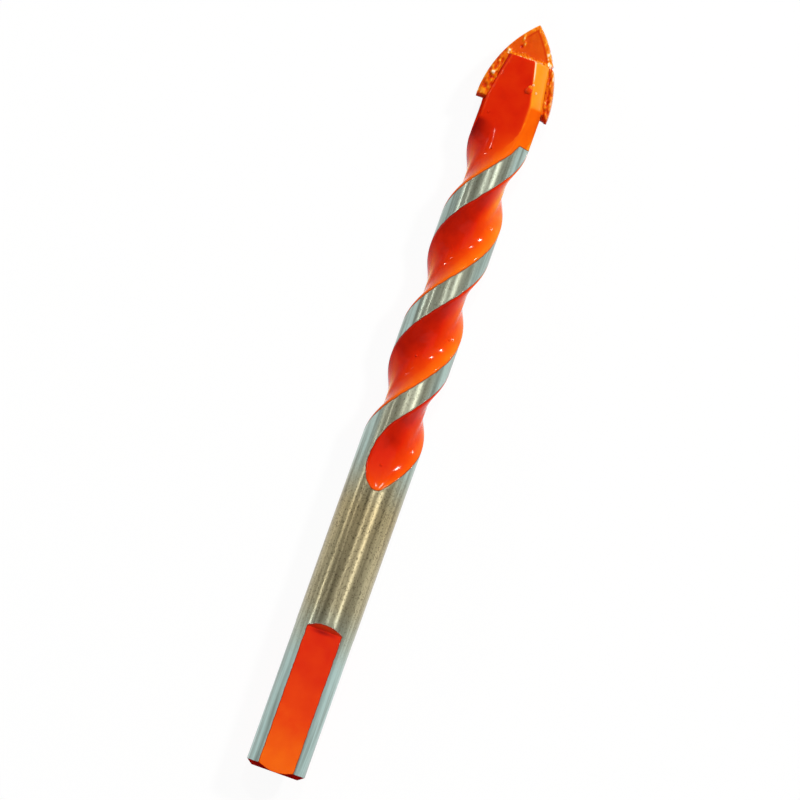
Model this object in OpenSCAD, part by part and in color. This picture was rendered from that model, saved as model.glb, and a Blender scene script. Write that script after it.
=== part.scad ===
// Glass and tile drill bit: a steel body with two helical flutes and a
// three-flat shank, and a carbide spear plate seated in a slot across its head.
// Both pieces are built upright, shank end at zero and point up, and then laid
// along +X with one shank flat facing +Z.

/* [Overall] */
// Length from the shank end to the point
overall_length = 103; // [98:1:120]
// Diameter of the shank
body_diameter = 8; // [7:0.1:8.6]

/* [Shank] */
// Length of the three flats, from the shank end to where they start to run out
flat_length = 19.4; // [12:0.2:24]
// Depth of each flat below the round shank
flat_depth = 0.8; // [0.4:0.05:1]
// Slope of the run-out at the upper end of each flat, in degrees
flat_runout_slope = 48; // [30:1:70]
// Number of flats around the shank
flat_count = 3; // [3:1:4]
// Chamfer at the shank end, measured across the radius
end_chamfer = 0.85; // [0.3:0.05:1.2]
// Slope of that chamfer from the end face, in degrees
end_chamfer_slope = 36; // [20:1:55]

/* [Flutes] */
// Distance from the point to the lower end of the flutes
flute_reach = 64.5; // [58:0.1:70]
// Length over which the flutes run out to the surface
runout_length = 10.2; // [6:0.1:13]
// Length of one full turn of a flute
flute_lead = 30.4; // [24:0.2:40]
// Diameter of the core at the bottom of the flutes
core_diameter = 5.5; // [5:0.1:6.2]
// Angle around the axis that one flute takes from the round body
flute_angle = 122; // [100:1:130]
// Share of the flute taken by its long sloping wall
long_wall_share = 0.44; // [0.3:0.02:0.5]
// Share of the flute taken by its short steep wall
short_wall_share = 0.22; // [0.15:0.01:0.4]
// Taper of the lands from the run-out to the head, measured across the radius
land_taper = 0.02; // [0.01:0.01:0.05]

/* [Head] */
// Distance from the point to the top of the steel head
head_top_drop = 4.8; // [4:0.1:6]
// Diameter of the steel head at its top
head_top_diameter = 6.1; // [5.5:0.1:6.8]
// Distance from the point to the lower end of the head's taper
taper_drop = 10.7; // [9:0.1:14]
// Distance from the point to where the flutes begin to turn
straight_drop = 15.3; // [13:0.1:18]
// Distance of the flat cheeks from the axis at the plate's seat
cheek_offset = 2.62; // [2.3:0.02:3]
// Lean of the flat cheeks towards the axis, in degrees
cheek_lean = 0.5; // [0:0.5:7]
// Turn of the flat cheeks from the top flat of the shank, in degrees
cheek_turn = -14; // [-30:1:10]

/* [Carbide plate] */
// Cutting width of the plate
cut_width = 10.2; // [9:0.1:12]
// Height of the plate from its seat to the point
plate_height = 11.4; // [10:0.1:13]
// Thickness of the plate
plate_thickness = 2; // [1.4:0.1:2.4]
// Turn of the plate from the top flat of the shank, in degrees
plate_turn = 5; // [-20:1:20]
// Relief angle ground behind each cutting edge, in degrees
relief_angle = 8; // [4:1:20]
// Chamfer along the lower edges of the plate
plate_chamfer = 0.45; // [0.2:0.05:0.6]
// Braze gap between the plate and each wall of its slot
braze_gap = 0.03; // [0.01:0.01:0.08]

/* [Hidden] */
$fn = 96;
steel_colour = [0.62, 0.64, 0.61];
carbide_colour = [0.86, 0.3, 0.05];

body_r = body_diameter / 2;
core_r = core_diameter / 2;
head_top_r = head_top_diameter / 2;

// Heights above the shank end
head_top_z = overall_length - head_top_drop;
taper_z = overall_length - taper_drop;
seat_z = overall_length - plate_height;
straight_z = overall_length - straight_drop;
flute_end_z = overall_length - flute_reach;
runout_z = flute_end_z + runout_length;

// The head straightens over this height, half of it on each side of straight_z
blend_height = 5.2;
// Height between two rings of a flute cutter, and segments across a flute
ring_step = 0.55;
wall_segments = 5;
floor_segments = 5;
// How far a flute cutter reaches outside the round body
cutter_margin = 1.5;
// Small overlap that makes every cut pass clean through a face
through = 0.5;
// How far a flute cutter has risen out of the body at the end of the run-out
runout_clear = 0.06;
// How the width falls along the run-out, and the share of it left at the end
runout_taper = 0.8;
least_width = 0.08;

// Angles along a flute's profile, from its centre
half_flute = flute_angle / 2;
long_wall = flute_angle * long_wall_share;
short_wall = flute_angle * short_wall_share;
floor_from = -half_flute + long_wall;
floor_to = half_flute - short_wall;
// Share of a wall by which its profile runs on past the round body
wall_overrun = 0.02;

// Smooth step from 0 to 1 as t goes from 0 to 1
function ease(t) = let (s = min(1, max(0, t))) s * s * (3 - 2 * s);

// Angles at which the profile is sampled, from the long wall to the short wall
function long_wall_angles() = [
    for (i = [0:wall_segments])
    floor_from - long_wall * (1 + wall_overrun) * (1 - i / wall_segments)
];
function floor_angles() = [
    for (i = [1:floor_segments - 1])
    floor_from + (floor_to - floor_from) * i / floor_segments
];
function short_wall_angles() = [
    for (i = [0:wall_segments])
    floor_to + short_wall * (1 + wall_overrun) * i / wall_segments
];
profile_angles = concat(long_wall_angles(), floor_angles(), short_wall_angles());
profile_count = len(profile_angles);

// Height of a flute wall over the core: 0 at the floor, 1 at the round body
function wall_rise(a) =
    a < floor_from ? pow((floor_from - a) / long_wall, 2) :
    a > floor_to ? pow((a - floor_to) / short_wall, 2) :
    0;

// Progress along the run-out: 0 where the flute is full, 1 at its lower end
function runout(z) = max(0, (runout_z - z) / runout_length);
function flute_depth(z) = (body_r - core_r) * (1 - pow(runout(z), 2));
// A narrowing flute draws in from its long wall, and its short wall stays
function flute_width(z) = max(least_width, pow(max(0, 1 - pow(runout(z), 2)), runout_taper));
function narrowed(a, z) = half_flute - (half_flute - a) * flute_width(z);

// Radius of a turning flute, and of a flat cheek, at angle a and height z
function helix_radius(a, z) =
    body_r - flute_depth(z) * (1 - wall_rise(a)) + runout_clear * pow(runout(z), 2);
function cheek_distance(z) = cheek_offset - (z - seat_z) * tan(cheek_lean);
function cheek_radius(a, z) = cheek_distance(z) / cos(a);

// 0 where the flute turns, 1 where it is a flat cheek
function straightness(z) = ease((z - straight_z) / blend_height + 0.5);
function flute_radius(a, z) =
    let (s = straightness(z))
    helix_radius(a, z) * (1 - s) + cheek_radius(a, z) * s;

// Turn of the flute's centre at height z: constant in the head, then one turn a lead
function turned_height(z) =
    let (from = straight_z - blend_height / 2, t = (z - from) / blend_height)
    t <= 0 ? z :
    t >= 1 ? from + blend_height / 2 :
    from + blend_height * (t - t * t / 2);
function flute_turn(z) =
    cheek_turn + (turned_height(z) - straight_z) * 360 / flute_lead;

// Heights of the cutter's rings, from below the run-out to above the head
cutter_from = flute_end_z - through;
cutter_to = overall_length;
ring_count = ceil((cutter_to - cutter_from) / ring_step) + 1;
function ring_z(i) = cutter_from + (cutter_to - cutter_from) * i / (ring_count - 1);
outer_r = body_r + cutter_margin;

function polar(r, a, z) = [r * cos(a), r * sin(a), z];
function flute_point(r, a, z) = polar(r, narrowed(a, z) + flute_turn(z), z);
// One ring goes along the flute's profile, and back outside the body in longer steps
outer_stride = wall_segments;
outer_count = (profile_count - 1) / outer_stride + 1;
function cutter_ring(z) = concat(
    [for (a = profile_angles) flute_point(flute_radius(a, z), a, z)],
    [for (i = [profile_count - 1:-outer_stride:0])
        let (a = profile_angles[i])
        flute_point(max(outer_r, flute_radius(a, z) + cutter_margin), a, z)]
);

// Solid that fills one flute
module flute_cutter() {
    ring_size = profile_count + outer_count;
    rings = [for (i = [0:ring_count - 1]) cutter_ring(ring_z(i))];
    points = [for (ring = rings) each ring];
    top = (ring_count - 1) * ring_size;
    sides = [
        for (i = [0:ring_count - 2], k = [0:ring_size - 1])
        let (
            a = i * ring_size + k,
            b = i * ring_size + (k + 1) % ring_size,
            c = a + ring_size,
            d = b + ring_size
        )
        each [[a, b, c], [b, d, c]]
    ];
    // Each end is closed by fans from the outer points to the profile
    fans = [
        for (j = [0:outer_count - 2], k = [0:outer_stride - 1])
        [ring_size - 1 - j, j * outer_stride + k + 1, j * outer_stride + k]
    ];
    steps = [
        for (j = [0:outer_count - 2])
        [ring_size - 1 - j, ring_size - 2 - j, (j + 1) * outer_stride]
    ];
    bottom_end = concat(fans, steps);
    top_end = [for (f = bottom_end) [f[0] + top, f[2] + top, f[1] + top]];
    polyhedron(points, concat(sides, bottom_end, top_end), convexity = 6);
}

// Round blank: chamfered shank end, round shank, lands and tapered head
module blank() {
    end_r = body_r - end_chamfer;
    chamfer_z = end_chamfer * tan(end_chamfer_slope);
    rotate_extrude()
        polygon([
            [0, 0],
            [end_r, 0],
            [body_r, chamfer_z],
            [body_r, runout_z],
            [body_r - land_taper, taper_z],
            [head_top_r, head_top_z],
            [0, head_top_z]
        ]);
}

// What one shank flat takes away, with a sloping run-out at its upper end
module flat_cutter() {
    floor_x = body_r - flat_depth;
    reach = flat_depth + through;
    rotate([90, 0, 0])
        linear_extrude(2 * body_diameter, center = true)
            polygon([
                [floor_x, -through],
                [floor_x + reach, -through],
                [floor_x + reach, flat_length + reach / tan(flat_runout_slope)],
                [floor_x, flat_length]
            ]);
}

// Slot across the head, open at the top and at both sides
module plate_slot() {
    width = plate_thickness + 2 * braze_gap;
    rotate(plate_turn)
        translate([-width / 2, -body_diameter, seat_z])
            cube([width, 2 * body_diameter, plate_height + through]);
}

module steel_upright() {
    difference() {
        blank();
        for (i = [0:flat_count - 1])
            rotate(i * 360 / flat_count)
                flat_cutter();
        for (turn = [0, 180])
            rotate(turn)
                flute_cutter();
        plate_slot();
    }
}

// One relieved side of the spear: an arc that narrows away from its cutting edge.
// The arc is set out at the plate's middle plane, where it meets the point.
module relieved_side() {
    relief = plate_thickness * tan(relief_angle);
    middle_half = (cut_width - relief) / 2;
    arc_r = (plate_height * plate_height + middle_half * middle_half) / (2 * middle_half);
    translate([-plate_thickness / 2, middle_half - arc_r, 0])
        rotate([0, 90, 0])
            cylinder(
                h = plate_thickness,
                r1 = arc_r + relief / 2,
                r2 = arc_r - relief / 2,
                $fn = 256
            );
}

// Flat block with chamfered lower edges that bounds the plate
module plate_block() {
    half = plate_thickness / 2;
    rotate([90, 0, 0])
        linear_extrude(2 * cut_width, center = true)
            polygon([
                [half - plate_chamfer, 0],
                [half, plate_chamfer],
                [half, plate_height + through],
                [-half, plate_height + through],
                [-half, plate_chamfer],
                [plate_chamfer - half, 0]
            ]);
}

module carbide_upright() {
    translate([0, 0, seat_z])
        rotate(plate_turn)
            intersection() {
                plate_block();
                relieved_side();
                rotate(180)
                    relieved_side();
            }
}

// Lays an upright piece along +X, with its own +X side turned up
module laid_down() {
    multmatrix([
        [0, 0, 1, 0],
        [0, -1, 0, 0],
        [1, 0, 0, 0],
        [0, 0, 0, 1]
    ])
        children();
}

module steel_body() {
    color(steel_colour)
        laid_down()
            steel_upright();
}

module carbide_tip() {
    color(carbide_colour)
        laid_down()
            carbide_upright();
}

steel_body();
carbide_tip();
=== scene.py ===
"""Looks of a glass and tile drill bit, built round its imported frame.

Shapes are set out upright, in millimetres: z from the shank end to the point, angle 0 towards
the side that faces up as the bit lies. place() lays them along +X, in metres.
"""
import math

import bmesh
import bpy
import numpy as np
from mathutils import Matrix, Vector, noise


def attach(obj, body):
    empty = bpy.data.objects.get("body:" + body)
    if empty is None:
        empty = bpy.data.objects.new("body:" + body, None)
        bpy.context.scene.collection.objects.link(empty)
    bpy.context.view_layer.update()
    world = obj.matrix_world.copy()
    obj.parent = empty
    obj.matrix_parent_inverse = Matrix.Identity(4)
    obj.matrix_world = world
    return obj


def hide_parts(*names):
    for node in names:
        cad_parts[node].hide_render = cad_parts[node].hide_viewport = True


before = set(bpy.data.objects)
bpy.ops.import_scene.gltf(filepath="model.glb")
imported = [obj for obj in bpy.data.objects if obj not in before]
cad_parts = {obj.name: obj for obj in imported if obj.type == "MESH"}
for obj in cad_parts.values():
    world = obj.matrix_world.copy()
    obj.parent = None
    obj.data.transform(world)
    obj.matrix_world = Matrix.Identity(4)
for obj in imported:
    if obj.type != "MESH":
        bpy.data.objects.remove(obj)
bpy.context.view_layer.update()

MM = 0.001

# Sizes of the bit, as in its source
LENGTH = 103.0
BODY_R = 4.0
CORE_R = 2.75
FLAT_X = 3.2
FLAT_PITCH = 120
FLAT_HALF = math.degrees(math.acos(FLAT_X / BODY_R))
FLAT_LENGTH = 19.4
FLAT_SLOPE = math.tan(math.radians(48))
END_CHAMFER = 0.85
CHAMFER_Z = END_CHAMFER * math.tan(math.radians(36))
FLUTE_PITCH = 180
FLUTE_END_Z = LENGTH - 64.5
RUNOUT = 10.2
RUNOUT_Z = FLUTE_END_Z + RUNOUT
RUNOUT_LIFT = 0.06
LEAD = 30.4
HALF_FLUTE = 61.0
LONG_WALL = 2 * HALF_FLUTE * 0.44
SHORT_WALL = 2 * HALF_FLUTE * 0.36  # wider than in the source, as the photo shows a softer corner
LAND_TAPER = 0.02
HEAD_TOP_Z = LENGTH - 4.8
HEAD_TOP_R = 3.05
TAPER_Z = LENGTH - 10.7
STRAIGHT_Z = LENGTH - 15.3
BLEND = 5.2
CHEEK_OFFSET = 2.62
CHEEK_LEAN = math.tan(math.radians(0.5))
CHEEK_TURN = -14.0
PLATE_HEIGHT = 11.4
SEAT_Z = LENGTH - PLATE_HEIGHT
HEAD_H = HEAD_TOP_Z - SEAT_Z
PLATE_HALF = 1.0
PLATE_TURN = 5.0
PLATE_WIDTH = 10.2
PLATE_RELIEF = 2 * PLATE_HALF * math.tan(math.radians(8))
PLATE_CHAMFER = 0.45
BRAZE_GAP = 0.03

# Rounded edges, which the source leaves sharp
EDGE_ROUND = 0.12
HEAD_EDGE_ROUND = 0.3
FLAT_EDGE_ROUND = 0.04
RIM_ROUND = 0.2

# Fineness of the body's mesh. The flutes' and the flats' rings have the same number of columns.
FLUTE_COLUMNS = 86
LAND_COLUMNS = 40
FLAT_COLUMNS = 42
PLAIN_ROW = 0.6
FLUTE_ROW = 0.3
FINE_ROW = 0.1
HAIR = 0.001  # off the flutes' end, where they have no width yet
WELD = 0.0005


def place(points):
    """Upright millimetres to the frame's metres."""
    p = np.asarray(points, float)
    return np.stack([p[..., 2], -p[..., 1], p[..., 0]], axis=-1) * MM


def polar(r, angle, z):
    a = np.radians(angle)
    return np.stack([r * np.cos(a), r * np.sin(a), z + 0 * r], axis=-1)


def turned(points, degrees):
    """The points turned about the bit's axis."""
    a = math.radians(degrees)
    p = np.asarray(points, float)
    x, y = p[..., 0], p[..., 1]
    across = x * math.cos(a) - y * math.sin(a)
    return np.stack([across, x * math.sin(a) + y * math.cos(a), p[..., 2]], axis=-1)


def folded(angle, pitch):
    """Angle from the nearest of the features that repeat at this pitch."""
    return (angle + pitch / 2) % pitch - pitch / 2


def ease(t):
    s = np.clip(t, 0, 1)
    return s * s * (3 - 2 * s)


def bell(offset, width):
    return np.exp(-(offset / width) ** 2)


def curve(knots, x):
    """Straight lines from knot to knot."""
    return np.interp(x, *zip(*knots))


def soft_min(a, b, k):
    h = np.maximum(k - np.abs(a - b), 0) / k
    return np.minimum(a, b) - h * h * k / 4


# The body's surface, as a radius over angle and height

LEAST_WIDTH = 0.08
STEEPEST = 80


def runout(z):
    """0 where the flutes are whole, 1 where they end."""
    return np.maximum(0, (RUNOUT_Z - z) / RUNOUT)


def head_share(z):
    """0 where the flutes wind, 1 where they are flat cheeks."""
    return ease((z - STRAIGHT_Z) / BLEND + 0.5)


def flute_width(z):
    """The share of its full width that a flute has."""
    return np.maximum(LEAST_WIDTH, np.maximum(0, 1 - runout(z) ** 2) ** 0.8)


def flute_turn(z):
    start = STRAIGHT_Z - BLEND / 2
    t = np.clip((z - start) / BLEND, 0, 1)
    wound = np.where(z < start, z, start + BLEND * (t - t * t / 2))
    return CHEEK_TURN + (wound - STRAIGHT_Z) * 360 / LEAD


def wall_rise(a):
    low = np.maximum(0, -HALF_FLUTE + LONG_WALL - a) / LONG_WALL
    high = np.maximum(0, a - HALF_FLUTE + SHORT_WALL) / SHORT_WALL
    return low ** 2 + high ** 2


def cheek_distance(z):
    return CHEEK_OFFSET - (z - SEAT_Z) * CHEEK_LEAN


def flute_radius(a, z):
    t2 = runout(z) ** 2
    helix = BODY_R - (BODY_R - CORE_R) * (1 - t2) * (1 - wall_rise(a)) + RUNOUT_LIFT * t2
    cheek = cheek_distance(z) / np.cos(np.radians(np.clip(a, -STEEPEST, STEEPEST)))
    s = head_share(z)
    return helix * (1 - s) + cheek * s


def blank_radius(z):
    """The turned blank's radius, and what its rounded top rim takes off."""
    r = np.interp(
        z,
        [0, CHAMFER_Z, RUNOUT_Z, TAPER_Z, HEAD_TOP_Z],
        [BODY_R - END_CHAMFER, BODY_R, BODY_R, BODY_R - LAND_TAPER, HEAD_TOP_R],
    )
    into_rim = np.clip((z - HEAD_TOP_Z + RIM_ROUND) / RIM_ROUND, 0, 1)
    return r, RIM_ROUND * (1 - np.sqrt(1 - into_rim ** 2))


def flat_radius(angle, z):
    x = FLAT_X + np.maximum(0, z - FLAT_LENGTH) * FLAT_SLOPE
    return x / np.cos(np.radians(folded(angle, FLAT_PITCH)))


def flute_angle(angle, z):
    """Angle across the nearest flute, from its middle, as if the flute had its full width."""
    off = folded(angle - flute_turn(z), FLUTE_PITCH)
    return HALF_FLUTE - (HALF_FLUTE - off) / flute_width(z)


def body_radius(angle, z):
    blank, rim = blank_radius(z)
    r = soft_min(blank, flat_radius(angle, z), FLAT_EDGE_ROUND)
    edge = EDGE_ROUND + (HEAD_EDGE_ROUND - EDGE_ROUND) * ease((z - STRAIGHT_Z) / BLEND)
    fluted = soft_min(r, flute_radius(flute_angle(angle, z), z), edge)
    return np.where(z > FLUTE_END_Z, fluted, r) - rim


# Where the mesh has its rows and columns

EDGE_SEARCH = np.linspace(-75, 75, 1501)


def flute_edges(z):
    """Angles from the flute's middle at which it meets the round body."""
    blank, _ = blank_radius(z)
    inside = EDGE_SEARCH[flute_radius(EDGE_SEARCH, z) < blank]
    low, high = (inside[0], inside[-1]) if len(inside) else (HALF_FLUTE - 1, HALF_FLUTE)
    width = flute_width(z)
    return HALF_FLUTE - (HALF_FLUTE - low) * width, HALF_FLUTE - (HALF_FLUTE - high) * width


def fluted_columns(z):
    low, high = flute_edges(z)
    flute = np.linspace(low, high, FLUTE_COLUMNS, endpoint=False)
    land = np.linspace(high, low + FLUTE_PITCH, LAND_COLUMNS, endpoint=False)
    half = np.concatenate([flute, land])
    return np.concatenate([half, half + FLUTE_PITCH]) + flute_turn(z)


def flat_columns():
    flat = np.linspace(-FLAT_HALF, FLAT_HALF, FLAT_COLUMNS, endpoint=False)
    between = np.linspace(FLAT_HALF, FLAT_PITCH - FLAT_HALF, FLAT_COLUMNS, endpoint=False)
    third = np.concatenate([flat, between])
    return np.concatenate([third, third + FLAT_PITCH, third + 2 * FLAT_PITCH])


def matched(columns, target):
    """The same columns, started at the one that lies nearest to the target's start."""
    n = len(columns)
    many = np.concatenate([columns + 360 * turn for turn in range(-12, 3)])
    best = min(range(len(many) - n), key=lambda i: np.abs(many[i:i + n] - target).sum())
    return many[best:best + n]


def body_rows():
    rim_z = HEAD_TOP_Z - RIM_ROUND
    return np.concatenate([
        np.linspace(0, CHAMFER_Z, 14),
        np.arange(1.0, FLAT_LENGTH - 1.2, PLAIN_ROW),
        np.arange(FLAT_LENGTH - 0.9, FLAT_LENGTH - 0.1, 0.12),
        np.linspace(FLAT_LENGTH - 0.06, FLAT_LENGTH + 0.8, 22),
        np.arange(FLAT_LENGTH + 1.2, FLUTE_END_Z - 0.3, PLAIN_ROW),
        np.arange(FLUTE_END_Z, FLUTE_END_Z + 2, FINE_ROW),
        np.arange(FLUTE_END_Z + 2, rim_z - 0.1, FLUTE_ROW),
        rim_z + RIM_ROUND * np.sin(np.linspace(0, math.pi / 2, 6)),
    ])


def body_columns(rows):
    """Angles of every ring: on the flutes, then over to the flats along the plain shank."""
    first = fluted_columns(FLUTE_END_Z + HAIR)
    flats = matched(flat_columns(), first)
    morph_from = FLAT_LENGTH + 1.0
    rings = []
    for z in rows:
        if z >= FLUTE_END_Z:
            rings.append(fluted_columns(z + HAIR))
        else:
            t = ease((z - morph_from) / (FLUTE_END_Z - morph_from))
            rings.append(flats * (1 - t) + first * t)
    return np.array(rings)


# Where the enamel lies, in millimetres inside its edge

ENAMEL_LAP = 6.0
TIP_ROUND = 1.2
HEAD_LINE_Z = 89.2
HEAD_LINE_RISE = 2.2
HEAD_LINE_LOWEST = 66
BARE = -1


def enamel_edges(z):
    """Angles from the flute's middle at which its enamel ends."""
    t = runout(z)
    width = np.maximum(0, 1 - t * t) ** 0.75
    lap = ENAMEL_LAP * ease(1 - 2 * t)
    return HALF_FLUTE * (1 - 2 * width) - lap, HALF_FLUTE + lap


def enamel_on_flutes(angle, z):
    off = folded(angle - flute_turn(z), FLUTE_PITCH)
    low, high = enamel_edges(z)
    step = 0.05
    ahead, behind = enamel_edges(z + step)[0], enamel_edges(z - step)[0]
    turn = flute_turn(z + step) - flute_turn(z - step)
    slope = np.radians(turn + ahead - behind) * BODY_R / (2 * step)
    left = np.radians(off - low) * BODY_R / np.sqrt(1 + slope ** 2)
    right = np.radians(high - off) * BODY_R * math.cos(math.atan(2 * math.pi * BODY_R / LEAD))
    return soft_min(left, right, TIP_ROUND) + 0.05 * ease(2 * runout(z))


def enamel_on_head(angle, z):
    return z - HEAD_LINE_Z + HEAD_LINE_RISE * np.cos(np.radians(angle - HEAD_LINE_LOWEST))


def enamel_on_flats(angle, z):
    off = np.radians(folded(angle, FLAT_PITCH))
    top = FLAT_LENGTH + (BODY_R * np.cos(off) - FLAT_X) / FLAT_SLOPE
    side = FLAT_X * (math.tan(math.radians(FLAT_HALF)) - np.abs(np.tan(off)))
    return np.minimum(side, (top - z) * 0.8) + 0.03


def on_chamfer(angle, z):
    return (z < CHAMFER_Z) & (blank_radius(z)[0] < flat_radius(angle, z) - 0.01)


def enamel_depth(angle, z):
    """Millimetres inside the enamel's edge, negative on bare steel."""
    return np.maximum.reduce([
        enamel_on_flutes(angle, z),
        enamel_on_head(angle, z),
        enamel_on_flats(angle, z),
        np.where(on_chamfer(angle, z), CHAMFER_Z - z, BARE),
    ])


# How warm the enamel is painted: 0 deep red, 1 pale amber. Most of it is painted light and shade, red
# where a surface turns from the lamps and amber where it faces them, with painted highlights along
# edges

# Palest warmth of the painted highlight along the head's edges
EDGE_HIGHLIGHT_PALE = 1.25
CHEEK_WARMTH = 0.27
LAND_WARMTH = 0.68
# Painted light on the head's cones, which face the lamps
CONE_WARMER = 0.27
LEFT_LAND_WARMTH = 0.2
EDGE_HIGHLIGHT_HALF = 1.9
HEAD_SHADE = 0.26
FLAT_SHADE = 0.24
# Painted shade on the chamfer, which turns away from the lamps
CHAMFER_WARMTH = 0.0
# By the angle across a flute: painted shade on the long wall, painted light on the steep one
FLUTE_WARMTH = [
    (-61, 0.13), (-38, 0.13), (-15, 0.18), (-5, 0.22), (20, 0.36), (40, 0.50), (58, 0.74), (66, 0.7),
]
# By height: the run-out's end, the painted light on the bit's right side, the painted highlight along
# the head's edges and the painted light on the flats
RUNOUT_WARMTH = [(39, 0.8), (42, 0.46), (45, 0.28)]
RIGHT_WARMER = [(44, 0.4), (62, 0.7), (74, 1.4)]
EDGE_HIGHLIGHT_RIGHT = [(88, 0), (90, 0.35), (95, 0.7), (96, 1), (98, 1)]
EDGE_HIGHLIGHT_LEFT = [(88.5, 0), (90, 0.12), (95, 0.2), (98, 0.25)]
FLAT_WARMTH = [(0, 0.74), (3, 0.68), (8, 0.48), (13, 0.36), (19.2, 0.28), (19.8, 0.36)]
STEEL_TINT = [(0, 0), (15, 0.05), (23, 0.85), (36, 1), (44, 0.65), (60, 0.5), (92, 0.45)]


def flute_warmth(a, angle, z):
    """Painted light and shade: red at the long wall, warmer at the steep one, at the run-out's end
    and at the bit's sides.
    """
    warmth = curve(FLUTE_WARMTH, a)
    warmth = warmth + (curve(RUNOUT_WARMTH, z) - warmth) * 0.7 * np.clip(runout(z), 0, 1)
    floor = np.clip(1 - np.abs(a) / HALF_FLUTE, 0, 1)
    side = np.sin(np.radians(angle))
    # Painted light on the bit's right side, and painted rim light on the flute floors towards its
    # left
    right = 0.9 * np.maximum(0, 0.95 - warmth) * side ** 2 * (0.4 + 0.6 * ease((30 - a) / 45))
    return warmth + np.where(side > 0, right * curve(RIGHT_WARMER, z), floor * side ** 12)


def cheek_warmth(a, angle, z):
    """Red cheeks, warm lands beside them with painted light on their cones, and a painted highlight
    along the edges between.
    """
    past_plate = folded(angle - PLATE_TURN - 90, 180)
    cone = ease((z - TAPER_Z + 0.2) / 0.5)
    land = np.where(past_plate < 0, LAND_WARMTH + CONE_WARMER * cone, LEFT_LAND_WARMTH)
    edge = np.degrees(np.arccos(np.clip(cheek_distance(z) / blank_radius(z)[0], -1, 1)))
    warmth = np.where(np.abs(a) < edge, CHEEK_WARMTH, land)
    # Painted highlight along the edges between cheek and land, stronger on the right
    edge_highlight = bell(np.abs(a) - edge, EDGE_HIGHLIGHT_HALF)
    edge_highlight = edge_highlight * np.where(a > 0, curve(EDGE_HIGHLIGHT_RIGHT, z), curve(EDGE_HIGHLIGHT_LEFT, z))
    return warmth + (EDGE_HIGHLIGHT_PALE - warmth) * edge_highlight


def shade_under_cheek(a, angle, z):
    """1 where painted shade lies below the cheek's left corner, where the flute starts."""
    line = 89.5 - 0.018 * (angle + 65)
    return ease((line - z) / 0.7) * bell(np.minimum(0, z - line + 1), 3) * bell(a + 54, 24)


def shade_in_flat(angle, z):
    """1 where painted shade lies in the crease at the upper end of a flat."""
    across = folded(angle, FLAT_PITCH)
    return bell(z - FLAT_LENGTH + 0.25, 0.3) * np.clip(1 - (across / 32) ** 2, 0, 1)


def enamel_warmth(angle, z):
    a = np.clip(flute_angle(angle, z), -90, 90)
    s = head_share(z)
    warmth = flute_warmth(a, angle, z) * (1 - s) + cheek_warmth(a, angle, z) * s
    warmth = warmth - HEAD_SHADE * shade_under_cheek(a, angle, z)
    # On the flats the colour runs paler towards the shank end: painted light.
    warmth = np.where(z < FLAT_LENGTH + 3, curve(FLAT_WARMTH, z), warmth)
    warmth = warmth - FLAT_SHADE * shade_in_flat(angle, z)
    # The chamfer takes the deepest red: painted shade.
    return np.where(on_chamfer(angle, z), CHAMFER_WARMTH, warmth)


def steel_tint(angle, z):
    """0 where the steel is cool grey, 1 where it is tinted olive brown."""
    # Cooler grey towards the bit's sides along the lands: a painted reflection.
    side_reflection = ease((np.abs(np.sin(np.radians(angle))) - 0.45) / 0.35)
    return curve(STEEL_TINT, z) * (1 - 0.8 * side_reflection * ease((z - 36) / 8))


# Meshes

SLOT_REACH = 8
BOX_FACES = [(0, 1, 3, 2), (4, 6, 7, 5), (0, 4, 5, 1), (2, 3, 7, 6), (0, 2, 6, 4), (1, 5, 7, 3)]


def new_piece(name, points, faces, **values):
    """An object of smooth faces, with a value per point for each further argument."""
    mesh = bpy.data.meshes.new(name)
    mesh.from_pydata(np.asarray(points, float).tolist(), [], faces)
    for key, data in values.items():
        layer = mesh.attributes.new(key, "FLOAT", "POINT")
        layer.data.foreach_set("value", np.asarray(data, np.float32))
    mesh.polygons.foreach_set("use_smooth", np.ones(len(mesh.polygons), bool))
    mesh.update()
    obj = bpy.data.objects.new(name, mesh)
    bpy.context.scene.collection.objects.link(obj)
    return obj


def ring_faces(rings, size):
    """Quads between closed rings that follow each other."""
    faces = []
    for i in range(rings - 1):
        for k in range(size):
            n = (k + 1) % size
            faces.append((i * size + k, i * size + n, (i + 1) * size + n, (i + 1) * size + k))
    return faces


def capped_faces(rings, size):
    """Faces of the rings, closed by two fans to the points that follow them, bottom and top."""
    bottom, top = rings * size, rings * size + 1
    last = (rings - 1) * size
    faces = ring_faces(rings, size)
    faces += [(bottom, (k + 1) % size, k) for k in range(size)]
    faces += [(top, last + k, last + (k + 1) % size) for k in range(size)]
    return faces


def make_body():
    rows = body_rows()
    angles = body_columns(rows)
    z = np.repeat(rows[:, None], angles.shape[1], axis=1)
    points = polar(body_radius(angles, z), angles, z).reshape(-1, 3)
    points = np.concatenate([points, [[0, 0, 0], [0, 0, HEAD_TOP_Z]]])
    angle = np.concatenate([angles.reshape(-1), [0, 0]])
    height = np.concatenate([z.reshape(-1), [0, HEAD_TOP_Z]])
    return new_piece(
        "bit_body", place(points), capped_faces(*angles.shape),
        enamel=enamel_depth(angle, height),
        warmth=enamel_warmth(angle, height),
        tint=steel_tint(angle, height),
    )


def cut_slot(body):
    """Cuts the plate's slot through the head."""
    half = PLATE_HALF + BRAZE_GAP
    corners = [
        (x, y, z) for x in (-half, half) for y in (-SLOT_REACH, SLOT_REACH) for z in (SEAT_Z, LENGTH)
    ]
    box = new_piece("slot", place(turned(corners, PLATE_TURN)), BOX_FACES)
    cut = body.modifiers.new("slot", "BOOLEAN")
    cut.object = box
    cut.operation = "DIFFERENCE"
    cut.solver = "EXACT"
    shaped = body.evaluated_get(bpy.context.evaluated_depsgraph_get())
    shaped = bpy.data.meshes.new_from_object(shaped)
    body.modifiers.clear()
    body.data = shaped
    bpy.data.objects.remove(box)


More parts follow.
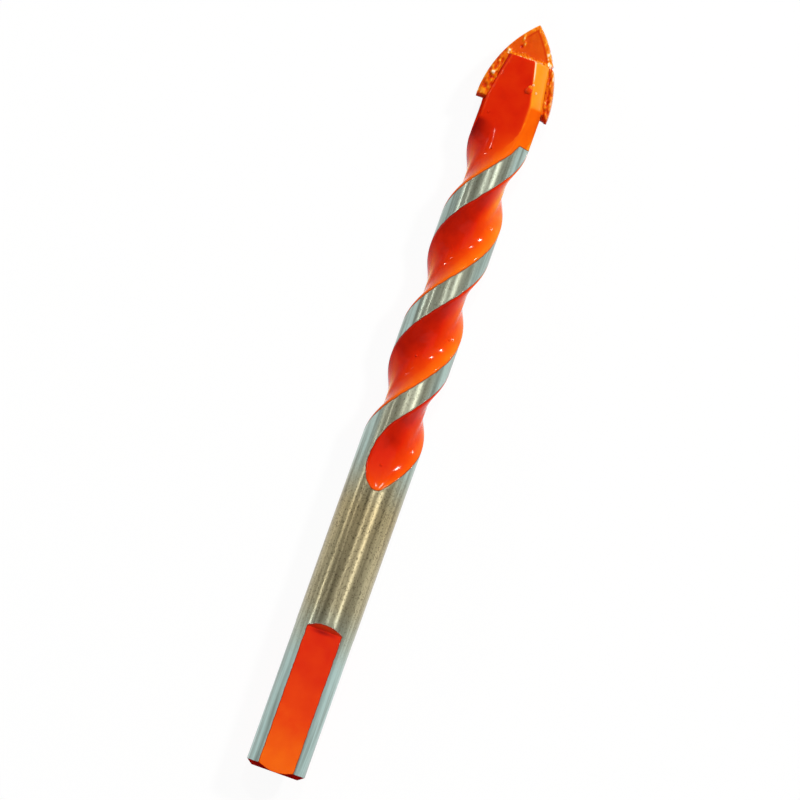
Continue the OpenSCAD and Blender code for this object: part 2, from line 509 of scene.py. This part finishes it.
# Beads of enamel that dried on the body: angle, height, radius and how much paler they are painted, a
# painted highlight
BEADS = [
    (24.5, 94.35, 0.50, 0.15),
    (26.0, 94.75, 0.36, 0.55),
    (29.5, 95.2, 0.18, 0),
    (40, 94.3, 0.19, 0.15),
    (-52.7, 90.1, 0.16, 0),
    (-12.5, 85.8, 0.20, 0),
    (58, 60.4, 0.20, 0),
    (-17, 57.0, 0.18, 0),
    (-6.6, 42.1, 0.20, 0),
]
BEAD_SUNK = 0.25
BEAD_STEPS = 10
BEAD_COLUMNS = 16


def unit_ball():
    """Points of a ball's rings from bottom to top, then its two poles."""
    turn = np.arange(BEAD_COLUMNS) * 360 / BEAD_COLUMNS
    heights = np.linspace(0, math.pi, BEAD_STEPS + 1)[1:-1]
    rings = [polar(np.full(BEAD_COLUMNS, math.sin(t)), turn, -math.cos(t)) for t in heights]
    return np.concatenate(rings + [[[0, 0, -1], [0, 0, 1]]])


def add_beads(body):
    bm = bmesh.new()
    bm.from_mesh(body.data)
    layers = {name: bm.verts.layers.float[name] for name in ("enamel", "warmth", "tint")}
    ball, faces = unit_ball(), capped_faces(BEAD_STEPS - 1, BEAD_COLUMNS)
    for angle, z, radius, painted_highlight in BEADS:
        at = np.array(angle), np.array(z)
        r = float(body_radius(*at))
        centre = place(polar(np.array(r - BEAD_SUNK * radius), at[0], z))
        warmth = float(enamel_warmth(*at)) + painted_highlight
        points = [bm.verts.new(point) for point in centre + ball * radius * MM]
        for point in points:
            point[layers["enamel"]] = radius
            point[layers["warmth"]] = warmth
            point[layers["tint"]] = 0
        for corners in faces:
            bm.faces.new([points[k] for k in corners]).smooth = True
    bm.to_mesh(body.data)
    bm.free()


def weld(piece):
    """Joins the points that fall together where the flutes and the plate run out to nothing."""
    bm = bmesh.new()
    bm.from_mesh(piece.data)
    bmesh.ops.remove_doubles(bm, verts=bm.verts, dist=WELD * MM)
    bm.to_mesh(piece.data)
    bm.free()


# The spear plate, across y and up h from its seat, with its front at +x

PLATE_BEVEL = 0.07
FACE_SHARE = 0.985
FACE_COLUMNS = 121
SIDE_COLUMNS = 9


def plate_edge(x, h):
    """Half width towards +y at depth x and height h."""
    middle = (PLATE_WIDTH - PLATE_RELIEF) / 2
    arc = (PLATE_HEIGHT ** 2 + middle ** 2) / (2 * middle)
    r = arc - PLATE_RELIEF * x / (2 * PLATE_HALF)
    return middle - arc + math.sqrt(max(0, r * r - h * h))


def plate_top(x):
    """The height at which the two edges meet at depth x, by halving."""
    low, high = 0.0, PLATE_HEIGHT + 1
    for _ in range(40):
        h = (low + high) / 2
        if plate_edge(x, h) + plate_edge(-x, h) > 0:
            low = h
        else:
            high = h
    return low


def plate_section(t):
    """Closed ring of (x, y, h) at the share t of the plate's height."""
    half = PLATE_HALF - max(0, PLATE_CHAMFER - t * PLATE_HEIGHT)
    inner = half - PLATE_BEVEL
    ring = []

    def add(x, s):
        h = plate_top(x) * t
        right, left = plate_edge(x, h), -plate_edge(-x, h)
        ring.append((x, left + (right - left) * (s + 1) / 2, h))

    across = np.linspace(-FACE_SHARE, FACE_SHARE, FACE_COLUMNS)
    for s in across:
        add(half, s)
    for x in np.linspace(inner, -inner, SIDE_COLUMNS):
        add(x, 1)
    for s in across[::-1]:
        add(-half, s)
    for x in np.linspace(-inner, inner, SIDE_COLUMNS):
        add(x, -1)
    return ring


# Blobs of braze on the plate's faces: y, height, radius across, radius up, how proud, and how pale
# they are painted, a painted highlight
BLOBS = [
    (-1.55, 9.1, 0.15, 0.38, 0.26, 0.65),
    (-1.2, 8.4, 0.13, 0.28, 0.18, 0.6),
    (-2.86, 7.05, 0.24, 0.22, 0.22, 0.5),
    (-3.68, 5.25, 0.20, 0.32, 0.30, 0.7),
    (-4.0, 3.6, 0.24, 0.24, 0.30, 0.65),
    (-3.1, 3.2, 0.28, 0.28, 0.42, 0.25),
    (-4.3, 1.0, 0.24, 0.30, 0.26, 0.4),
    (2.1, 8.0, 0.18, 0.28, 0.24, 0.6),
    (2.3, 7.5, 0.16, 0.20, 0.20, 0.5),
    (2.6, 6.9, 0.28, 0.24, 0.34, 0.5),
    (3.42, 6.05, 0.18, 0.30, 0.26, 0.45),
    (3.7, 4.4, 0.20, 0.40, 0.24, 0.3),
    (3.85, 2.1, 0.20, 0.16, 0.26, 0.5),
    (4.45, 1.5, 0.24, 0.34, 0.22, 0.25),
]
# Pits between them: y, height and radius
PITS = [
    (-3.25, 2.6, 0.20),
    (-3.75, 2.0, 0.30),
    (-3.95, 2.95, 0.16),
    (-1.5, 8.0, 0.20),
    (3.4, 3.3, 0.14),
    (3.5, 1.7, 0.16),
]
PIT_DEPTH = 0.10
# Painted shade in the pits
PIT_SHADE = 0.5
SPOT_REACH = 9  # the square of a blob's or pit's reach, in its radii
FILLET = 0.55
SIDE_FILLET = 0.36
RIM_BEVEL = 0.3
RIM_DROP = 0.12
RIM_BAND = 0.75
WING_H = 6.4
GROOVE_IN = 0.6
CHIP_H = 6.62
CHIP_REACH = 0.5
DRIP = 0.45
DRIP_Y = 4.1
DRIP_H = 1.2
PLATE_WARMTH = 0.58
SIDE_WARMER = 0.18
# Painted shade at the plate's foot, above its seat
FOOT_SHADE = 0.5
FACE_X = 0.9
INSIDE_BOX = 0.997  # keeps the chips and blobs within the solid's width


def steel_front(y):
    """How far the steel's top edge stands in front of the plate's middle plane at y."""
    round_part = math.sqrt(max(0, HEAD_TOP_R ** 2 - y * y))
    lean = math.radians(CHEEK_TURN - PLATE_TURN)
    cheek = (cheek_distance(HEAD_TOP_Z) - y * math.sin(lean)) / math.cos(lean)
    return max(PLATE_HALF, min(round_part, cheek) - 0.12)


def steel_side(h):
    """Where the slot's wall ends at height h, from the axis."""
    r = float(blank_radius(np.array(SEAT_Z + h))[0])
    return math.sqrt(max(0, r * r - PLATE_HALF ** 2))


def eased(t):
    return float(ease(t))


def window(value, low, high, soft=0.4):
    return eased((value - low) / soft) * eased((high - value) / soft)


def wing(y, h):
    """1 on the plate's bare wings, 0 where it stands in the slot and near its point."""
    out = eased((abs(y) - steel_side(min(h, HEAD_H))) / 0.3)
    return out * (eased((8.6 - h - 0.5 * y) / 1.5) if y < 0 else eased((9.6 - h) / 1.2))


def braze_spots(y, h):
    proud = paler = 0.0
    # A blob's paleness is a painted highlight, a pit's darkness painted shade
    for by, bh, ry, rh, up, pale in BLOBS:
        d = ((y - by) / ry) ** 2 + ((h - bh) / rh) ** 2
        if d < SPOT_REACH:
            proud += up * math.exp(-d)
            paler += pale * math.exp(-d)
    for py, ph, pr in PITS:
        d = ((y - py) ** 2 + (h - ph) ** 2) / pr ** 2
        if d < SPOT_REACH:
            proud -= PIT_DEPTH * math.exp(-d)
            paler -= PIT_SHADE * math.exp(-d)
    return proud, paler


def fillets(y, h, coarse, fine, beady):
    """The braze in the corners over the steel's top and beside the slot's walls, painted paler along
    them as a painted highlight.
    """
    proud = paler = 0.0
    above = (h - HEAD_H) / (FILLET * (1 + 0.4 * coarse + 0.7 * fine))
    if -0.15 < above < 1 and abs(y) < HEAD_TOP_R:
        proud += (steel_front(y) - PLATE_HALF) * (1 - max(0, above)) ** 2
        paler += (0.4 + 0.7 * beady) * (1 - max(0, above)) ** 0.7
    if h <= HEAD_H:
        past = (abs(y) - steel_side(h)) / (SIDE_FILLET * (1 + 0.6 * fine))
        if -0.3 < past < 1:
            proud += (0.30 + 0.3 * coarse) * (1 - max(0, past)) ** 2
            paler += 0.15 * (1 - max(0, past))
    return proud, paler


def plate_lumps(y, h):
    """How far the enamel and braze stand proud of the plate's face, and how much paler they are
    painted: painted light on lumps, blobs and fillets, painted shade in pits and the groove.
    """
    to_right = max(0, plate_edge(PLATE_HALF, h) - y)
    to_left = max(0, plate_edge(-PLATE_HALF, h) + y)
    rim = min(to_right, to_left)
    coarse = noise.noise(Vector((y * 1.7, h * 1.2, 3.1)))
    fine = noise.noise(Vector((y * 3.0, h * 1.9, 7.7)))
    beady = noise.noise(Vector((y * 5.0, h * 2.6, 1.3)))
    out = wing(y, h)
    proud = 0.03 * coarse + 0.012 * fine + out * max(0, 0.13 + 0.34 * coarse + 0.24 * fine)
    # Paler where the wing's lumps stand proud: painted light.
    paler = out * (0.02 + 0.35 * coarse + 0.5 * fine)
    for more_proud, more_pale in (braze_spots(y, h), fillets(y, h, coarse, fine, beady)):
        proud, paler = proud + more_proud, paler + more_pale
    ground = window(h, 6.2, 12) if to_right < to_left else window(h, 9.2, 12)
    band = eased((RIM_BAND - rim) / 0.2)
    line = bell(rim - RIM_BAND - 0.05, 0.15)
    paler += ground * (band * (0.15 + 0.4 * max(0, beady)) - 0.14 * line)
    if y > 0 and h < WING_H:
        groove = bell(to_right - GROOVE_IN, 0.1)
        # Darker in the groove: painted shade.
        proud, paler = proud - 0.06 * groove, paler - 0.3 * groove
    bevel = 1 - eased(rim / RIM_BEVEL)
    return proud * (1 - bevel) - RIM_DROP * bevel, paler + SIDE_WARMER * bevel


def chip(x, y, h):
    """How far the right edge is chipped back above its wing."""
    near = 1 - min(1, max(0, plate_edge(x, h) - y) / CHIP_REACH)
    notch = 0.22 * bell(h - CHIP_H, 0.2)
    rough = 0.16 * max(0, noise.noise(Vector((h * 2.8, 0.4, 5.5)))) * window(h, 6.3, 9.8)
    return near * (notch + rough) if y > 0 else 0.0


def make_plate():
    shares = np.concatenate([
        np.linspace(0, 0.04, 4),
        np.linspace(0.048, 0.96, 130),
        1 - 0.04 * (1 - np.linspace(0.2, 1, 6)) ** 1.5,
    ])
    rings = [plate_section(t) for t in shares]
    size = len(rings[0])
    points, warmth = [], []
    for ring in rings:
        for x, y, h in ring:
            side = 1 if x > 0 else -1
            lump, paler = plate_lumps(side * y, h) if abs(x) > FACE_X else (0, SIDE_WARMER)
            drip = DRIP * eased((y - DRIP_Y) / 0.6) * eased(1 - h / DRIP_H)
            points.append((x + side * lump, INSIDE_BOX * (y - chip(x, y, h)), SEAT_Z + h - drip))
            warmth.append(PLATE_WARMTH + paler - FOOT_SHADE * eased(1 - h / 0.7))
    faces = ring_faces(len(rings), size)
    faces.append(tuple(range(size))[::-1])
    faces.append(tuple(range((len(rings) - 1) * size, len(rings) * size)))
    return new_piece("spear_plate", place(turned(points, PLATE_TURN)), faces, warmth=warmth)


# Materials

class Graph:
    """The node tree of a material or world, with short ways to add and join nodes."""

    def __init__(self, owner):
        self.owner = owner
        owner.use_nodes = True
        self.tree = owner.node_tree
        self.tree.nodes.clear()

    def add(self, kind, inputs=None, **settings):
        node = self.tree.nodes.new(kind)
        for key, value in settings.items():
            setattr(node, key, value)
        for key, value in (inputs or {}).items():
            if isinstance(value, bpy.types.NodeSocket):
                self.tree.links.new(value, node.inputs[key])
            else:
                node.inputs[key].default_value = value
        return node

    def value(self, name):
        return self.add("ShaderNodeAttribute", attribute_name=name).outputs["Fac"]

    def math(self, operation, a, b=0.0):
        return self.add("ShaderNodeMath", {0: a, 1: b}, operation=operation).outputs[0]

    def remap(self, value, low, high, to_low=0.0, to_high=1.0):
        return self.add("ShaderNodeMapRange", {
            "Value": value, "From Min": low, "From Max": high, "To Min": to_low, "To Max": to_high,
        }).outputs["Result"]

    def mix(self, factor, a, b):
        return self.add("ShaderNodeMix", {0: factor, 6: a, 7: b}, data_type="RGBA").outputs[2]

    def mix_values(self, factor, a, b):
        return self.add("ShaderNodeMix", {0: factor, 2: a, 3: b}, data_type="FLOAT").outputs[0]

    def noise(self, scale, detail=3.0, stretch=(1, 1, 1)):
        where = self.add("ShaderNodeTexCoord").outputs["Object"]
        mapped = self.add("ShaderNodeMapping", {"Vector": where, "Scale": stretch}).outputs[0]
        inputs = {"Vector": mapped, "Scale": scale, "Detail": detail}
        return self.add("ShaderNodeTexNoise", inputs).outputs["Fac"]

    def ramp(self, factor, stops):
        node = self.add("ShaderNodeValToRGB", {"Fac": factor})
        ramp = node.color_ramp
        while len(ramp.elements) < len(stops):
            ramp.elements.new(0.5)
        for element, (at, colour) in zip(ramp.elements, stops):
            element.position = at
            element.color = (*colour, 1)
        return node.outputs["Color"]

    def finish(self, shader, output="ShaderNodeOutputMaterial"):
        out = self.add(output)
        self.tree.links.new(shader.outputs[0], out.inputs["Surface"])
        return self.owner


def new_graph(name):
    return Graph(bpy.data.materials.new(name))


def srgb(r, g, b):
    def linear(c):
        c /= 255
        return c / 12.92 if c <= 0.04045 else ((c + 0.055) / 1.055) ** 2.4
    return linear(r), linear(g), linear(b)


# From deep red to pale, over warmth times WARMTH_SCALE; the palest end is reached by the painted
# highlights
PALE_HIGHLIGHT_COLOUR = srgb(255, 228, 196)
ENAMEL = [
    (0.0, srgb(140, 8, 4)),
    (0.2, srgb(214, 34, 4)),
    (0.4, srgb(230, 64, 6)),
    (0.6, srgb(242, 102, 9)),
    (0.8, srgb(250, 154, 32)),
    (1.0, PALE_HIGHLIGHT_COLOUR),
]
PLATE_ENAMEL = [
    (0.0, srgb(112, 10, 4)),
    (0.2, srgb(184, 36, 4)),
    (0.4, srgb(208, 64, 5)),
    (0.6, srgb(226, 104, 8)),
    (0.8, srgb(244, 156, 36)),
    (1.0, PALE_HIGHLIGHT_COLOUR),
]
WARMTH_SCALE = 0.8
COOL_STEEL = (*srgb(172, 198, 194), 1)
OLIVE_STEEL = (*srgb(187, 171, 130), 1)
DARK_STEEL = (*srgb(76, 68, 46), 1)
EDGE_BROWN = (*srgb(112, 24, 8), 1)
STEEL_METALLIC = 0.7
STEEL_GRAIN = 0.85
ENAMEL_GLOSS = 0.09
PLATE_GLOSS = 0.06


def enamel_colour(g, stops):
    mottle = g.remap(g.noise(420, 4), 0.3, 0.7, -0.05, 0.05)
    warmth = g.math("ADD", g.value("warmth"), mottle)
    return g.ramp(g.math("MULTIPLY", warmth, WARMTH_SCALE), stops)


def body_material(name, grain, gloss):
    """Bare steel and enamel, parted by the body's enamel depth. grain is the steel's anisotropy."""
    g = new_graph(name)
    wobble = g.remap(g.noise(900, 2), 0.3, 0.7, -0.05, 0.05)
    depth = g.math("ADD", g.value("enamel"), wobble)
    mask = g.remap(depth, -0.03, 0.03)
    streak = g.noise(1700, 6, (0.05, 1, 1))
    speck = g.remap(g.noise(4200, 2), 0.54, 0.66)
    speck = g.math("MULTIPLY", speck, g.value("tint"))
    steel = g.mix(g.value("tint"), COOL_STEEL, OLIVE_STEEL)
    steel = g.mix(g.remap(streak, 0.40, 0.66, 0.0, 0.55), steel, DARK_STEEL)
    steel = g.mix(g.math("MULTIPLY", speck, 0.7), steel, DARK_STEEL)
    brown = g.remap(depth, 0.03, 0.14, 0.75, 0.0)
    enamel = g.mix(brown, enamel_colour(g, ENAMEL), EDGE_BROWN)
    steel_rough = g.remap(streak, 0.3, 0.7, 0.28, 0.38)
    enamel_rough = g.remap(g.noise(700, 2), 0.3, 0.7, 0.08, 0.12)
    height = g.math("MULTIPLY", mask, g.remap(g.noise(330, 2), 0.0, 1.0, 0.2, 0.9))
    bump = g.add("ShaderNodeBump", {"Height": height, "Distance": 0.0002, "Strength": 0.7})
    shader = g.add("ShaderNodeBsdfPrincipled", {
        "Base Color": g.mix(mask, steel, enamel),
        "Metallic": g.remap(mask, 0.0, 1.0, STEEL_METALLIC, 0.0),
        "Roughness": g.mix_values(mask, steel_rough, enamel_rough),
        "Specular IOR Level": gloss,
        "Anisotropic": grain,
        "Anisotropic Rotation": 0.25,
        "Tangent": g.add("ShaderNodeTangent", direction_type="RADIAL", axis="X").outputs[0],
        "Normal": bump.outputs[0],
    })
    return g.finish(shader)


def plate_material():
    g = new_graph("enamelled_carbide")
    lumps = g.math("ADD", g.noise(620, 3), g.math("MULTIPLY", g.noise(1700, 2), 0.35))
    bump = g.add("ShaderNodeBump", {"Height": lumps, "Distance": 0.0001, "Strength": 0.8})
    shader = g.add("ShaderNodeBsdfPrincipled", {
        "Base Color": enamel_colour(g, PLATE_ENAMEL),
        "Roughness": g.remap(g.noise(500, 2), 0.3, 0.7, 0.10, 0.2),
        "Specular IOR Level": PLATE_GLOSS,
        "Normal": bump.outputs[0],
    })
    return g.finish(shader)


# Floor, light and camera

FLOOR_Z = -BODY_R * MM
FLOOR_HALF = 3.0
FLOOR_PAINT = (0.95, 0.95, 0.95, 1)
WHITE = (1, 1, 1, 1)
FLOOR_GLOW = 0.93  # the rest is paint, which keeps the shadow
# By height over the horizon, from level to straight up
WORLD = [
    (0.0, (0.60, 0.64, 0.66)),
    (0.30, (0.34, 0.35, 0.34)),
    (0.60, (0.22, 0.21, 0.19)),
    (1.0, (0.26, 0.25, 0.22)),
]
BIT_MIDDLE = Vector((LENGTH / 2 * MM, 0, 0))
LAMP_FAR = 1.6
LAMP_NEAR = 1.0


def make_floor():
    corners = [(-1, -1), (1, -1), (1, 1), (-1, 1)]
    points = [(x * FLOOR_HALF, y * FLOOR_HALF, FLOOR_Z) for x, y in corners]
    floor = new_piece("floor", points, [(0, 1, 2, 3)])
    g = new_graph("white_floor")
    path = g.add("ShaderNodeLightPath").outputs
    seen = g.math("MAXIMUM", path["Is Camera Ray"], path["Is Glossy Ray"])
    seen = g.math("MAXIMUM", seen, path["Is Transmission Ray"])
    paint = g.add("ShaderNodeBsdfDiffuse", {"Color": FLOOR_PAINT})
    glow = g.add("ShaderNodeEmission", {"Color": WHITE, "Strength": 1.0})
    share = g.math("MULTIPLY", seen, FLOOR_GLOW)
    mixed = g.add("ShaderNodeMixShader", {0: share, 1: paint.outputs[0], 2: glow.outputs[0]})
    floor.data.materials.append(g.finish(mixed))


def make_world():
    g = Graph(bpy.data.worlds.new("studio"))
    where = g.add("ShaderNodeTexCoord").outputs["Generated"]
    height = g.add("ShaderNodeSeparateXYZ", {0: where}).outputs["Z"]
    sky = g.add("ShaderNodeBackground", {"Color": g.ramp(height, WORLD)})
    bpy.context.scene.world = g.finish(sky, "ShaderNodeOutputWorld")


def facing(right, up, back, place_at):
    """The matrix of a lamp or camera that looks along -back."""
    return Matrix.Translation(place_at) @ Matrix((right, up, back)).transposed().to_4x4()


def make_lamp(name, across, along, distance, size, radiance, lights=True, shows=True):
    """An oblong lamp that faces the middle of the bit, its first side along X.

    across is its angle from the zenith towards -Y, along its angle towards the point. A lamp
    that doesn't light is only seen in the gloss, and one that doesn't show is a soft fill.
    """
    a, b = math.radians(across), math.radians(along)
    back = Vector((math.sin(b), -math.sin(a) * math.cos(b), math.cos(a) * math.cos(b)))
    data = bpy.data.lights.new(name, "AREA")
    data.shape = "RECTANGLE"
    data.size, data.size_y = size
    data.energy = radiance * math.pi * size[0] * size[1]
    lamp = bpy.data.objects.new(name, data)
    level = (Vector((1, 0, 0)) - back * back.x).normalized()
    lamp.matrix_world = facing(level, back.cross(level), back, BIT_MIDDLE + back * distance)
    lamp.visible_camera = False
    lamp.visible_diffuse = lights
    lamp.visible_glossy = shows
    bpy.context.scene.collection.objects.link(lamp)


def make_lamps():
    make_lamp("main_right", 31, 32, LAMP_FAR, (0.16, 0.16), 200)
    make_lamp("main_middle", -2, 30, LAMP_FAR, (0.09, 0.09), 230)
    make_lamp("small_left", -44, 7, LAMP_FAR, (0.05, 0.05), 110)
    make_lamp("small_side", -68, 10, LAMP_FAR, (0.05, 0.05), 260)
    make_lamp("small_low", 82, 30, LAMP_FAR, (0.10, 0.10), 90, lights=False)
    make_lamp("fill", 0, -35, LAMP_FAR, (0.8, 0.8), 1.2, shows=False)
    make_lamp("strip_above", 16, 0, LAMP_NEAR, (0.9, 0.75), 0.6, lights=False)
    make_lamp("strip_left", -72, 0, LAMP_NEAR, (0.9, 0.25), 0.45, lights=False)


LEAN = math.radians(19.65)
CAMERA_TILT = math.radians(2)
VIEW_CENTRE = Vector((51.0, 0.89, 0)) * MM
VIEW_WIDTH = 103.9 * MM
CAMERA_DISTANCE = 1.5
SENSOR = 36


def make_camera():
    data = bpy.data.cameras.new("camera")
    data.sensor_width = SENSOR
    data.lens = SENSOR * CAMERA_DISTANCE / VIEW_WIDTH
    data.clip_end = 100
    camera = bpy.data.objects.new("camera", data)
    back = Vector((-math.sin(CAMERA_TILT), 0, math.cos(CAMERA_TILT)))
    right = Vector((math.cos(LEAN), math.sin(LEAN), 0)).cross(back).normalized()
    camera.matrix_world = facing(right, back.cross(right), back, VIEW_CENTRE + back * CAMERA_DISTANCE)
    bpy.context.scene.collection.objects.link(camera)
    bpy.context.scene.camera = camera


# The pieces, dressed

BODY_SHARP = math.radians(40)
PLATE_SHARP = math.radians(60)
COVERED = -0.1  # depth from which a face takes the enamel's material, a little outside its edge
END_FACING = -0.3
ON_LAND = 0.985 * BODY_R


def dress(piece, materials, node):
    piece.data.materials.clear()
    for material in materials:
        piece.data.materials.append(material)
    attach(piece, "root")
    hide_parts(node)


def part_finishes(body):
    """Gives each face its material: bare steel, enamel, or the thin enamel on the end and lands."""
    depth = np.empty(len(body.data.vertices), np.float32)
    body.data.attributes["enamel"].data.foreach_get("value", depth)
    for face in body.data.polygons:
        x, y, z = face.center / MM
        chamfered = x < CHAMFER_Z and face.normal.x < END_FACING
        head_land = STRAIGHT_Z - 1 < x < TAPER_Z and math.hypot(y, z) > ON_LAND
        covered = depth[list(face.vertices)].max() > COVERED
        face.material_index = (2 if chamfered or head_land else 1) if covered else 0


make_camera()
body = make_body()
cut_slot(body)
add_beads(body)
weld(body)
body.data.set_sharp_from_angle(angle=BODY_SHARP)
body_finishes = [
    body_material("ground_steel", STEEL_GRAIN, ENAMEL_GLOSS),
    body_material("enamel", 0, ENAMEL_GLOSS),
    body_material("thin_enamel", 0, 0.0),
]
dress(body, body_finishes, "steel_body")
part_finishes(body)
plate = make_plate()
weld(plate)
plate.data.set_sharp_from_angle(angle=PLATE_SHARP)
dress(plate, [plate_material()], "carbide_tip")
make_floor()
make_world()
make_lamps()
bpy.context.scene.view_settings.view_transform = "Standard"
